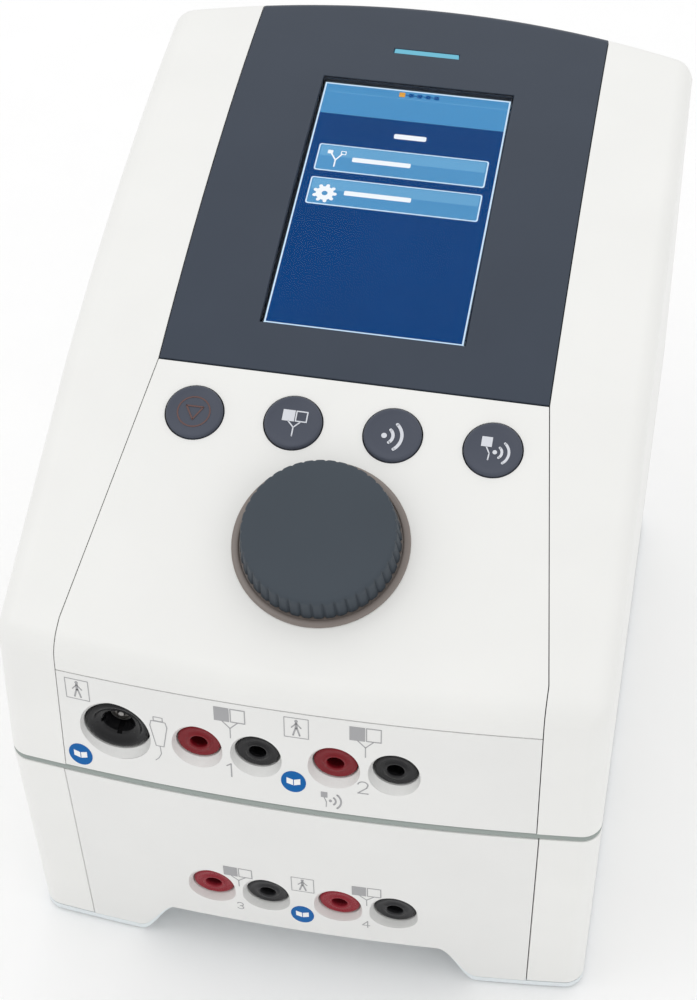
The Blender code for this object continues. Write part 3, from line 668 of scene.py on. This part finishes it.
def make_fascia():
    bm = bmesh.new()
    rows = [("face", LIP_Z)] + [("front", t) for t in spaced(0, 1, 10)] + [("top", JOINT_Y - SPREAD_RUN)]
    grid = []
    for row in rows:
        line = []
        for u in spaced(-1, 1, 31):
            x = u * (deck_half(Y_FRONT) - GAP)
            y, z = upper_point(row, x)
            line.append((flared(x, z), y, z))
        grid.append(line)
    patch(bm, grid)
    y = JOINT_Y - GAP
    rear_half = flared(deck_half(y) - GAP, top_z(y))
    deck = [(-rear_half, y, top_z(y))] + grid[-1] + [(rear_half, y, top_z(y))]
    bm.faces.new([bm.verts.new(point) for point in deck])
    hole = [(0, -9), (KEY_HOLE_R, -9), (KEY_HOLE_R, 9), (0, 9)]
    holes = [cutter(turned(hole), key_frame(i)) for i in range(len(KEYS))]
    holes.append(cutter(turned([(0, -9), (4, -9), (4, 9), (0, 9)], 40), deck_frame(0, DIAL_ROW)))
    piece("control_deck", bm, WHITE, stands_for=["control_fascia"], wall=SHEET_T, bevel=0.3,
          cutters=holes)


def socket_cutter(x, z, radius):
    """Round recess that opens out towards the face, most of all at the top."""
    beside = 0.5  # how far the mouth opens at the sides, as a part of the lip
    above, below = (1.3, 0.5) if z > GASKET_LOW else (2.1, -0.3)  # and how much more above and below

    def spread(angle):
        up = math.sin(angle)
        return -SOCKET_LIP * (beside + (above if up > 0 else below) * up * up)

    profile = [(0, -14), (radius, -14), (radius, -JACK_SUNK)]
    for share in [i / 6 for i in range(1, 7)]:
        profile.append((radius, -JACK_SUNK * (1 - share) * (1 + 0.25 * share), share))
    return cutter(turned(profile + [(radius, 3, 1), (0, 3)], groove=spread), face_frame(x, z))


def make_front_panel():
    bm = bmesh.new()
    half = deck_half(Y_FRONT) - GAP
    levels = (UPPER_BOTTOM + GAP, LIP_Z - 0.45)
    patch(bm, [[(flared(x, z), front_y(x), z) for x in spaced(-half, half, 25)] for z in levels])
    holes = [socket_cutter(x, UPPER_ROW_Z, JACK_R + GAP) for x in jack_places()]
    holes.append(socket_cutter(APPLICATOR_X, UPPER_ROW_Z, APPLICATOR_R + GAP))
    # The panel's white is darkened into painted shade.
    piece("upper_socket_panel", bm, WHITE_WITH_PAINTED_SHADE, stands_for=["jack_panel"], wall=PANEL_T,
          bevel=0.25, cutters=holes)


def make_display_panel():
    bm = bmesh.new()
    rows = [("top", y) for y in spaced(JOINT_Y + GAP, WINDOW_Y0, 4)]
    rows += [("top", y) for y in spaced(WINDOW_Y0, WINDOW_Y1, 15)[1:]]
    rows += [("top", (WINDOW_Y1 + LIGHT_BAR_Y) / 2)]
    rows += [("top", LIGHT_BAR_Y - LIGHT_BAR_T), ("top", BACK_Y), ("back", 0.5), ("back", 1.0)]
    rows += [("rear", t) for t in spaced(0, 1, 8)[1:]] + [("wall", NOTCH_Z + GAP)]
    half = PANEL_HALF - GAP
    xs = spaced(LIGHT_BAR_HALF, WINDOW_HALF, 5) + spaced(WINDOW_HALF, half, 6)[1:]
    xs = [-x for x in reversed(xs)] + [-4, 4] + xs
    grid = []
    for row in rows:
        line = []
        for x in xs:
            y, z = upper_point(row, x)
            line.append((flared(x, z) if abs(x) > WINDOW_HALF else x, y, z))
        grid.append(line)

    def opening(centre):
        window = WINDOW_Y0 < centre.y < WINDOW_Y1 and abs(centre.x) < WINDOW_HALF
        slot = abs(centre.y - LIGHT_BAR_Y) < LIGHT_BAR_T and abs(centre.x) < LIGHT_BAR_HALF
        return window or slot

    patch(bm, grid, opening)
    piece("screen_panel", bm, SLATE, stands_for=["display_bezel"], wall=SHEET_T, bevel=0.3)

    bar = block((-6, LIGHT_BAR_HALF - GAP, 0.95), (-0.1, LIGHT_BAR_HALF - GAP, 0.95),
                (0.12, LIGHT_BAR_HALF - GAP - 0.2, 0.75))
    at = Matrix.Translation((0, LIGHT_BAR_Y, top_z(LIGHT_BAR_Y)))
    at = at @ Matrix.Rotation(math.atan(panel_slope(LIGHT_BAR_Y)), 4, "X")
    piece("light_bar_lens", bar, LIGHT_BAR, at=at, stands_for=["status_light_bar"], bevel=0.15)

    rows = []
    for y in spaced(WINDOW_Y0 + GAP, WINDOW_Y1 - GAP, 17):
        rows.append([(x, y, top_z(y, 0.05)) for x in spaced(GAP - WINDOW_HALF, WINDOW_HALF - GAP, 9)])
    bm = bmesh.new()
    patch(bm, rows)
    piece("window_lens", bm, GLASS, stands_for=["display_window"], wall=1.0)


def make_screen():
    """Display module with a dark mask and a lit page of bars, icons and keys."""
    at = screen_frame()
    mask = block((-10, 37, 60), (-4.9, 37, 60), (-4.9, WINDOW_HALF - 0.6, 55.6),
                 (-LIT_DEPTH - 0.3, WINDOW_HALF - 0.6, 55.6))
    piece("display_mask", mask, SLATE, at=at, stands_for=["lcd_module"], bevel=0.2)
    level = at @ Matrix.Translation((0, 0, -LIT_DEPTH - 0.3))

    def page(name, marks, look):
        marks.make(name, look, level, "screen")

    page("page_ground", Marks(0.06, 0.02).rounded(0, 0, LIT_X, LIT_Y, 0.2), SCREEN_BLUE)
    header = Marks(0.03, 0.09).rounded(0, LIT_Y - HEADER_HALF, LIT_X - 0.1, HEADER_HALF, 0.1)
    page("page_header", header, SCREEN_BAND)
    page("page_border", Marks(0.05, 0.10).outline(0, 0, LIT_X + 0.25, LIT_Y + 0.25, 0.55), SCREEN_EDGE)
    page("page_header_rule", Marks(0.02, 0.13).rounded(0, RULE_Y, LIT_X - 0.3, 0.12, 0.05), SCREEN_KEY_LIGHT)
    dots = Marks(0.03, 0.13).line([(-4, DOT_ROW_Y), (7, DOT_ROW_Y)], 0.35)
    for x in (-2.0, 1.0, 4.0, 7.0):
        dots.rounded(x, DOT_ROW_Y, 0.85, 0.85, 0.4)
    page("page_dots", dots, SCREEN_DOT)
    page("page_first_dot", Marks(0.04, 0.13).rounded(-5.2, DOT_ROW_Y, 1.05, 1.05, 0.3), SCREEN_ORANGE)
    page("page_title_bar", Marks(0.03, 0.09).rounded(0.9, TITLE_Y, 5.6, 1.1, 0.5), SCREEN_WHITE)
    for number, (y, label) in enumerate(DRAWN_KEYS, 1):
        page(f"page_key_{number}_edge", Marks(0.03, 0.09).rounded(0, y, 29.3, 6.15, 0.9), SCREEN_EDGE)
        page(f"page_key_{number}_face", Marks(0.03, 0.12).rounded(0, y, 28.8, 5.65, 0.6), SCREEN_KEY)
        shine = Marks(0.02, 0.15).rounded(0, y + 3.0, 28.4, 2.3, 0.4)
        page(f"page_key_{number}_shine", shine, SCREEN_KEY_LIGHT)
        bars = Marks(0.03, 0.18).rounded(label - 16.4 - label / 2, y, label / 2 + 0.6, 1.0, 0.45)
        bars.rounded(label - 14.2, y, label / 2 - 1.2, 1.0, 0.45)
        if number == 1:
            bars.line([(-24.6, y + 2.0), (-22.7, y - 0.9), (-20.8, y + 2.0)], 0.5)
            bars.line([(-22.7, y - 0.9), (-22.7, y - 3.9)], 0.5)
            bars.rounded(-25.0, y + 2.6, 0.9, 0.8, 0.2).outline(-20.4, y + 2.6, 0.95, 0.85, 0.3)
        else:
            bars.gear(-23.5, y - 1.0, 3.9)
        page(f"page_key_{number}_marks", bars, SCREEN_WHITE)


# ---------------------------------------------------------------- keys and dial


def make_keys():
    cap = [(0, 0.42), (3.5, 0.45), (6.2, 0.55), (7.6, 0.80), (8.15, 1.0), (8.55, 1.02), (8.9, 0.85),
           (9.12, 0.5), (9.2, 0.1), (9.2, -3.1), (10.6, -3.1), (10.6, -4.2), (2, -4.2), (2, -5.6), (0, -5.6)]
    for index, name in enumerate(KEYS):
        at, body = key_frame(index), f"key_{name}"
        piece(f"key_cap_{name}", turned(cap), KEY, body, at, [f"button_{name}"], sharp=50)
        icon = Marks(0.06, 0.0)
        if name == "stop":
            icon.arc(-0.2, 0, 5.2, 0.45).line([(-2.9, 1.9), (2.6, 1.9), (-0.15, -2.7), (-2.9, 1.9)], 0.5)
        elif name == "electrotherapy":
            icon.pads(0.3, 2.2, 3.9, 0.42, 5.0)
        elif name == "ultrasound":
            icon.waves(-2.6, -0.6, 5.6, 1.05)
        else:
            icon.pads(-2.2, 2.4, 3.4, 0.42, 4.4, single=True).waves(0.7, -0.9, 4.4, 0.85)
        height = Matrix.Translation((0, 0, 0.56))
        look = PRINT_RED if name == "stop" else PRINT_PALE
        icon.make(f"key_icon_{name}", look, at @ height, "slate", body)


def make_dial():
    at = deck_frame(0, DIAL_ROW)

    def groove(angle):
        return (0.5 + 0.5 * math.cos(DIAL_FLUTES * angle)) ** 6

    depth = 0.6
    knob = [(0, 10.2), (12, 10.3), (20, 10.5), (22.6, 10.6), (23.3, 10.5, 0.2 * depth),
            (23.75, 10.15, 0.5 * depth), (24.0, 9.6, 0.8 * depth), (24.15, 8.8, depth), (24.6, 4.0, depth),
            (25.0, 1.0, depth), (24.8, 0.7, 0.9 * depth), (22.0, 0.7), (4.2, 0.7), (4.2, 3.5), (3.3, 3.5),
            (3.3, 7.9), (0, 7.9)]
    piece("dial_cap", turned(knob, 12 * DIAL_FLUTES, groove), KNOB, "dial", at, ["dial_knob"],
          sharp=60)
    ring = [(23.6, 0.3), (27.75, 0.3), (27.7, 0.55), (27.45, 0.8), (26.9, 0.95), (26.0, 1.0), (25.6, 0.95),
            (25.4, 0.8), (25.3, 0.45), (23.6, 0.45)]
    piece("dial_ring", turned(ring, 128), TRIM, at=at, stands_for=["dial_trim_ring"], sharp=60)


# ---------------------------------------------------------------------- sockets


def make_sockets():
    jack = [(0, -11.9), (3.2, -11.9), (3.2, -2.0), (2.75, -1.5), (2.7, -0.2), (2.9, 0.15), (3.35, 0.25),
            (3.75, 0.05), (4.15, -0.2), (5.4, -0.15), (6.1, 0.0), (6.6, -0.1), (6.9, -0.35), (7.05, -0.8),
            (7.05, -2.2), (5.6, -2.2), (5.6, -16), (0, -16)]
    pin = [(0, -11.7), (1.5, -11.7), (1.5, -5.2), (1.25, -4.6), (0.7, -4.3), (0, -4.25)]
    # The lower row takes the lighter copies of the jack plastics. Their extra lightness is painted sheen.
    looks = {("red", 0): RED, ("red", 1): LOWER_RED_WITH_PAINTED_SHEEN, ("black", 0): BLACK, ("black", 1): LOWER_BLACK_WITH_PAINTED_SHEEN}
    for level, z in enumerate((UPPER_ROW_Z, LOWER_ROW_Z)):
        for index, x in enumerate(jack_places()):
            channel, colour = 1 + 2 * level + index // 2, ("red", "black")[index % 2]
            at, end = face_frame(x, z, JACK_SUNK), f"{channel}_{colour}"
            piece(f"socket_{end}", turned(jack), looks[colour, level], at=at,
                  stands_for=[f"jack_{end}"], sharp=50)
            piece(f"socket_pin_{end}", turned(pin, 32), METAL, at=at,
                  stands_for=[f"jack_pin_{end}"], sharp=50)


def make_applicator_socket():
    shape = [(0, -14), (4.85, -14), (4.85, -2.4), (5.2, -1.7), (5.9, -1.35), (6.9, -1.2), (7.5, -0.7),
             (8.0, -0.1), (8.7, 0.25), (9.4, 0.25), (10.0, 0.0), (10.4, -0.5), (10.55, -1.2), (10.55, -3),
             (8.2, -3), (8.2, -20), (0, -20)]
    at = face_frame(APPLICATOR_X, UPPER_ROW_Z, JACK_SUNK)
    ways = []
    for angle in (0, 90, 180, 270):
        way = at @ Matrix.Rotation(math.radians(angle), 4, "Z") @ Matrix.Translation((4.85, 0, 0))
        ways.append(cutter(block((-9, 0.75, 0.8), (3, 0.75, 0.8)), way))
    piece("applicator_ring", turned(shape, 96), BLACK, at=at, stands_for=["applicator_socket"],
          cutters=ways, sharp=50)
    insert = [(0, -13.7), (3.9, -13.7), (3.9, -6.2), (3.6, -5.7), (3.1, -5.7), (2.9, -6.6), (1.5, -6.6),
              (1.3, -5.0), (0.9, -4.5), (0, -4.4)]
    piece("applicator_contact_ring", turned(insert, 48), DARK_METAL, at=at,
          stands_for=["applicator_contacts"], sharp=50)


def make_front_marks():
    """Printed signs and channel numbers round the sockets."""
    figures = ((-69.0, 139.5, 1.22), (0.8, 139.8, 1.22), (0.6, 52.6, 1.14))
    for number, (x, z, up) in enumerate(figures, 1):
        sign = Marks().body_sign(0, 0, 3.9).stretch(1, up)
        sign.make(f"applied_part_sign_{number}", PRINT_GREY, print_frame(x, z), "white")
    discs = ((-70.6, 107.3, 1.3), (-0.5, 113.3, 1.3), (-0.1, 32.9, 1.36))
    for number, (x, z, up) in enumerate(discs, 1):
        at = print_frame(x, z)
        Marks().disc(0, 0, 4.0, 64).stretch(1, up).make(f"blue_disc_{number}", PRINT_BLUE, at, "white")
        book = Marks(lift=PRINT_T + 0.01)
        for side in (-1, 1):
            leaf = [(0.14, -1.3), (2.2, -0.7), (2.2, 1.4), (0.14, 0.8)]
            book.plate([(side * px, py) for px, py in leaf[::side]])
        book.stretch(1, up).make(f"book_sign_{number}", PRINT_WHITE, at, "white")
    pads = ((-20.1, 140.9, 1.12, 1.5), (22.2, 140.9, 1.12, 1.5),
            (-21.5, 53.9, 1.2, 1.4), (22.2, 53.9, 1.2, 1.4))
    for number, (x, z, across, up) in enumerate(pads, 1):
        sign = Marks().pads(0, 0, 4.3 if number < 3 else 4.0, 0.28, 5.0 if number < 3 else 4.4)
        sign.stretch(across, up).make(f"pads_sign_{number}", PRINT_GREY, print_frame(x, z), "white")
    digits = ((-20.4, 114.1, 6.4), (21.5, 115.0, 5.8), (-21.8, 31.7, 4.2), (21.8, 32.3, 4.2))
    for number, (x, z, height) in enumerate(digits, 1):
        digit = Marks().digit(number, 0, 0, height, 0.42 if number < 3 else 0.34)
        digit.make(f"channel_number_{number}", PRINT_GREY, print_frame(x, z), "white")
    Marks().handpiece(0, 0, 23).make("applicator_sign", PRINT_GREY, print_frame(-43.3, 122.5), "white")
    combined = Marks().pads(-2.2, 1.8, 2.1, 0.28, 3.6, single=True).waves(-0.2, -0.4, 3.4, 0.6)
    combined.stretch(1, 1.27).make("combination_sign", PRINT_GREY, print_frame(11.4, 106.7), "white")


# -------------------------------------------------------------------- base unit


def make_base():
    right = side_stations(BASE_PANEL_HALF, BASE_HALF_WIDTH, CORNER_R, flats=3, steps=8)
    left = [(-x, inset) for x, inset in reversed(right)]
    rear = left + [(x, 0.0) for x in [-68] + arch_stations() + [68]] + right
    plan = [(x, inset, -1) for x, inset in reversed(left)] + [(x, inset, 1) for x, inset in rear]
    plan += [(x, inset, -1) for x, inset in reversed(right)]
    rows = []
    for share in spaced(0, 1, 4):
        line = []
        for x, inset, end in plan:
            low = TRAY_T + GAP + (arch_z(x) if end > 0 else TRAY_LOW)
            z = low + (BASE_TOP - low) * share
            line.append((x, base_y(x, z, end, inset), z))
        rows.append(line)
    bm = bmesh.new()
    patch(bm, rows)
    piece("base_shell", bm, WHITE, stands_for=["base_housing"], wall=SHELL_T, bevel=0.4)

    half = BASE_PANEL_HALF - GAP
    rows = []
    for share in spaced(0, 1, 4):
        line = []
        for x in [-half, -68] + arch_stations() + [68, half]:
            low = arch_z(x) + TRAY_T + GAP
            z = low + (BASE_TOP - low) * share
            line.append((x, base_y(x, z, -1), z))
        rows.append(line)
    bm = bmesh.new()
    patch(bm, rows)
    holes = [socket_cutter(x, LOWER_ROW_Z, JACK_R + GAP) for x in jack_places()]
    # The panel's white is darkened into painted shade.
    piece("lower_socket_panel", bm, WHITE_WITH_PAINTED_SHADE, stands_for=["base_front_panel"], wall=PANEL_T,
          bevel=0.25, cutters=holes)

    sections = []
    for x, inset in rear:
        low = arch_z(x)
        rim = [(TRAY_LOW, -1, 0.7), (TRAY_LOW + 0.7, -1, 0.0), (TRAY_LOW + TRAY_T, -1, 0.0),
               (TRAY_LOW + TRAY_T, 1, 0.0), (TRAY_LOW + 0.7, 1, 0.0), (TRAY_LOW, 1, 0.7)]
        sections.append([(x, base_y(x, z, end, inset + draw), low + z - TRAY_LOW) for z, end, draw in rim])
    seats = [cutter(turned([(0, -3), (8.3, -3), (8.3, 2.6), (0, 2.6)], 48), Matrix.Translation((x, y, 0)))
             for x in (-80, 80) for y in (-104, 104)]
    seats += [cutter(turned([(0, -4), (2.3, -4), (2.3, 8), (0, 8)], 32), Matrix.Translation((x, y, ARCH_Z)))
              for x in (-36, 36) for y in (-80, 80)]
    # The tray's grey carries painted light, raised against the shade under the base.
    piece("tray", loft(sections), TRAY_WITH_PAINTED_LIGHT, stands_for=["base_tray"], cutters=seats, bevel=0.15)

    foot = [(0, 0.25), (4.0, 0.25), (4.6, 0), (7.2, 0), (7.7, 0.2), (8, 0.7), (8, 2.3), (0, 2.3)]
    for end, y in (("front", -104), ("rear", 104)):
        for hand, x in (("left", -80), ("right", 80)):
            piece(f"rubber_foot_{end}_{hand}", turned(foot, 48), RUBBER,
                  at=Matrix.Translation((x, y, 0)), stands_for=[f"foot_{end}_{hand}"], sharp=50)
            make_screw(end, hand, x * 36 / 80, y * 80 / 104)


def make_screw(end, hand, x, y):
    """Pan-head screw with a cross recess, head down."""
    at = Matrix.Translation((x, y, ARCH_Z))
    shape = [(0, -2.3), (2.6, -2.2), (3.3, -1.8), (3.6, -1.2), (3.6, -GAP), (1.9, -GAP), (1.9, 12), (0, 12)]
    cross = [cutter(block((-3, 1.9, 0.4), (-1.2, 1.4, 0.3)), at @ Matrix.Rotation(turn, 4, "Z"))
             for turn in (0, math.pi / 2)]
    piece(f"tray_screw_{end}_{hand}", turned(shape, 40), METAL, at=at,
          stands_for=[f"base_screw_{end}_{hand}"], cutters=cross, sharp=50)


def make_gasket():
    def ring(inset, z):
        half, radius = BASE_HALF_WIDTH - inset, CORNER_R - min(inset, 3.0)
        side = side_stations(60, half, radius, flats=3, steps=8)
        stations = [(-x, turn) for x, turn in reversed(side)] + [(x, 0.0) for x in spaced(-50, 50, 11)] + side
        front = [(x, front_y(x) + inset + turn, z) for x, turn in stations]
        return front + [(x, rear_y(x) - inset - turn, z) for x, turn in reversed(stations)]

    low, high = GASKET_LOW, GASKET_HIGH
    outline = [(7.0, low), (0.5, low), (0.15, low + 0.35), (0.0, (low + high) / 2), (0.15, high - 0.35),
               (0.5, high), (7.0, high)]
    loops = [ring(inset, z) for inset, z in outline]
    piece("gasket_band", loft(loops, around=True), RUBBER, stands_for=["seam_gasket"], sharp=50)


# --------------------------------------------------- rear entry and the insides


def make_mains_entry():
    """Metal blades in the inlet, and marks on the rocker. The moulded block is the CAD's own."""
    at = rear_frame(0, 126, 3.0)
    for index, (x, y) in enumerate(((-7, -2.5), (0, 2.5), (7, -2.5)), 1):
        blade = block((-15.5, 1.15, 2.35), (-6.4, 1.15, 2.35), (-5.7, 0.7, 1.9))
        piece(f"inlet_blade_{index}", blade, METAL, at=at @ Matrix.Translation((x - 15, y, 0)),
              bevel=0.15)
    rocker = at @ Matrix.Translation((20, 0, -2.0))
    raised = math.atan2(3.2 + 0.4, 9.3)
    wing = rocker @ Matrix.Translation((0, 4.65, 1.4)) @ Matrix.Rotation(raised, 4, "X")
    Marks().arc(0, 0, 1.3, 0.45).make("rocker_mark_off", PRINT_WHITE, wing, "red", "power_switch")
    low = math.atan2(-0.8, 9.3)
    wing = rocker @ Matrix.Translation((0, -4.65, 0.0)) @ Matrix.Rotation(low, 4, "X")
    Marks().line([(0, -1.3), (0, 1.3)], 0.45).make("rocker_mark_on", PRINT_WHITE, wing, "red", "power_switch")
    pull = at @ Matrix.Translation((4.5, 0, 0.6))
    ribs = Marks(0.35, -0.02)
    for y in spaced(-5, 5, 6):
        ribs.rounded(0, y, 3.0, 0.35, 0.2)
    ribs.make("drawer_grip_ribs", BLACK, pull, "black", "fuse_holder")


def dress_cad_nodes():
    """Better materials, and soft edges, for the CAD nodes that stay."""
    looks = {"chassis_plate": STEEL, "power_supply": STEEL, "encoder_shaft": METAL, "encoder_body": BLACK,
             "mains_inlet": BLACK, "fuse_drawer": BLACK, "power_rocker": RED}
    for name in ("key_board", "main_board", "ultrasound_board", "output_board_upper", "output_board_lower"):
        looks[name] = BOARD
    for name in KEYS:
        looks[f"switch_{name}"] = BLACK
    for name, look in looks.items():
        node = frame["nodes"][name]
        node.data.materials.clear()
        node.data.materials.append(look)
        if name in ("mains_inlet", "fuse_drawer", "power_rocker", "power_supply"):
            edge = node.modifiers.new("edge", "BEVEL")
            edge.width, edge.segments, edge.limit_method = 0.35 * MM, 2, "ANGLE"
            edge.angle_limit = math.radians(35)


def make_board_parts():
    """Components on the two boards that show through the vents, kept inside the housing."""
    parts = Marks(9.0, 0.0)
    for i in range(6):
        parts.rounded(-42 + 16 * i, 78 - 9 * (i % 2), 5.0, 4.0, 1.2)
    parts.make("board_modules", BLACK, Matrix.Translation((0, 0, BOARD_TOP)), "black")
    cans = Marks(14.0, 0.0)
    for i in range(4):
        cans.disc(-30 + 20 * i, 56, 4.0, 28)
    cans.make("board_capacitors", STEEL, Matrix.Translation((0, 0, BOARD_TOP)), "metal")


# ------------------------------------------------------------------------ stage


def aimed(name, data, at, target):
    obj = bpy.data.objects.new(name, data)
    bpy.context.scene.collection.objects.link(obj)
    obj.location = at
    obj.rotation_euler = (Vector(target) - Vector(at)).to_track_quat("-Z", "Y").to_euler()
    return obj


def make_stage():
    bm = bmesh.new()
    bmesh.ops.create_grid(bm, x_segments=1, y_segments=1, size=4.0)
    mesh = bpy.data.meshes.new("floor")
    bm.to_mesh(mesh)
    bm.free()
    floor = bpy.data.objects.new("floor", mesh)
    bpy.context.scene.collection.objects.link(floor)
    mesh.materials.append(surface("pale_floor", (0.97, 0.97, 0.97), 0.75, grain=40, bump=0.0, spread=0.005))

    world = bpy.data.worlds.new("studio")
    bpy.context.scene.world = world
    world.use_nodes = True
    background = world.node_tree.nodes["Background"]
    background.inputs["Color"].default_value = (1.0, 1.0, 1.0, 1)
    background.inputs["Strength"].default_value = 0.90

    for name, at, size, power in (("key_light", (-0.9, -0.5, 1.7), 1.1, 3.5),
                                  ("fill_light", (1.1, -0.9, 1.0), 1.2, 1.0),
                                  ("top_light", (0.1, 0.9, 1.8), 1.4, 3.0)):
        light = bpy.data.lights.new(name, "AREA")
        light.energy, light.size = power, size
        aimed(name, light, at, (0, 0, 0.1))

    camera = bpy.data.cameras.new("camera")
    camera.lens, camera.sensor_width = CAMERA_LENS, 36.0
    camera.clip_start, camera.clip_end = 0.05, 20
    looks_at = Vector(CAMERA_AT) + Vector(CAMERA_LOOKS)
    bpy.context.scene.camera = aimed("camera", camera, CAMERA_AT, looks_at)
    bpy.context.scene.view_settings.view_transform = "Standard"


def main():
    make_stage()
    make_upper_housing()
    make_fascia()
    make_front_panel()
    make_display_panel()
    make_screen()
    make_keys()
    make_dial()
    make_sockets()
    make_applicator_socket()
    make_front_marks()
    make_base()
    make_gasket()
    make_mains_entry()
    make_board_parts()
    dress_cad_nodes()
    remove_cutters()


main()
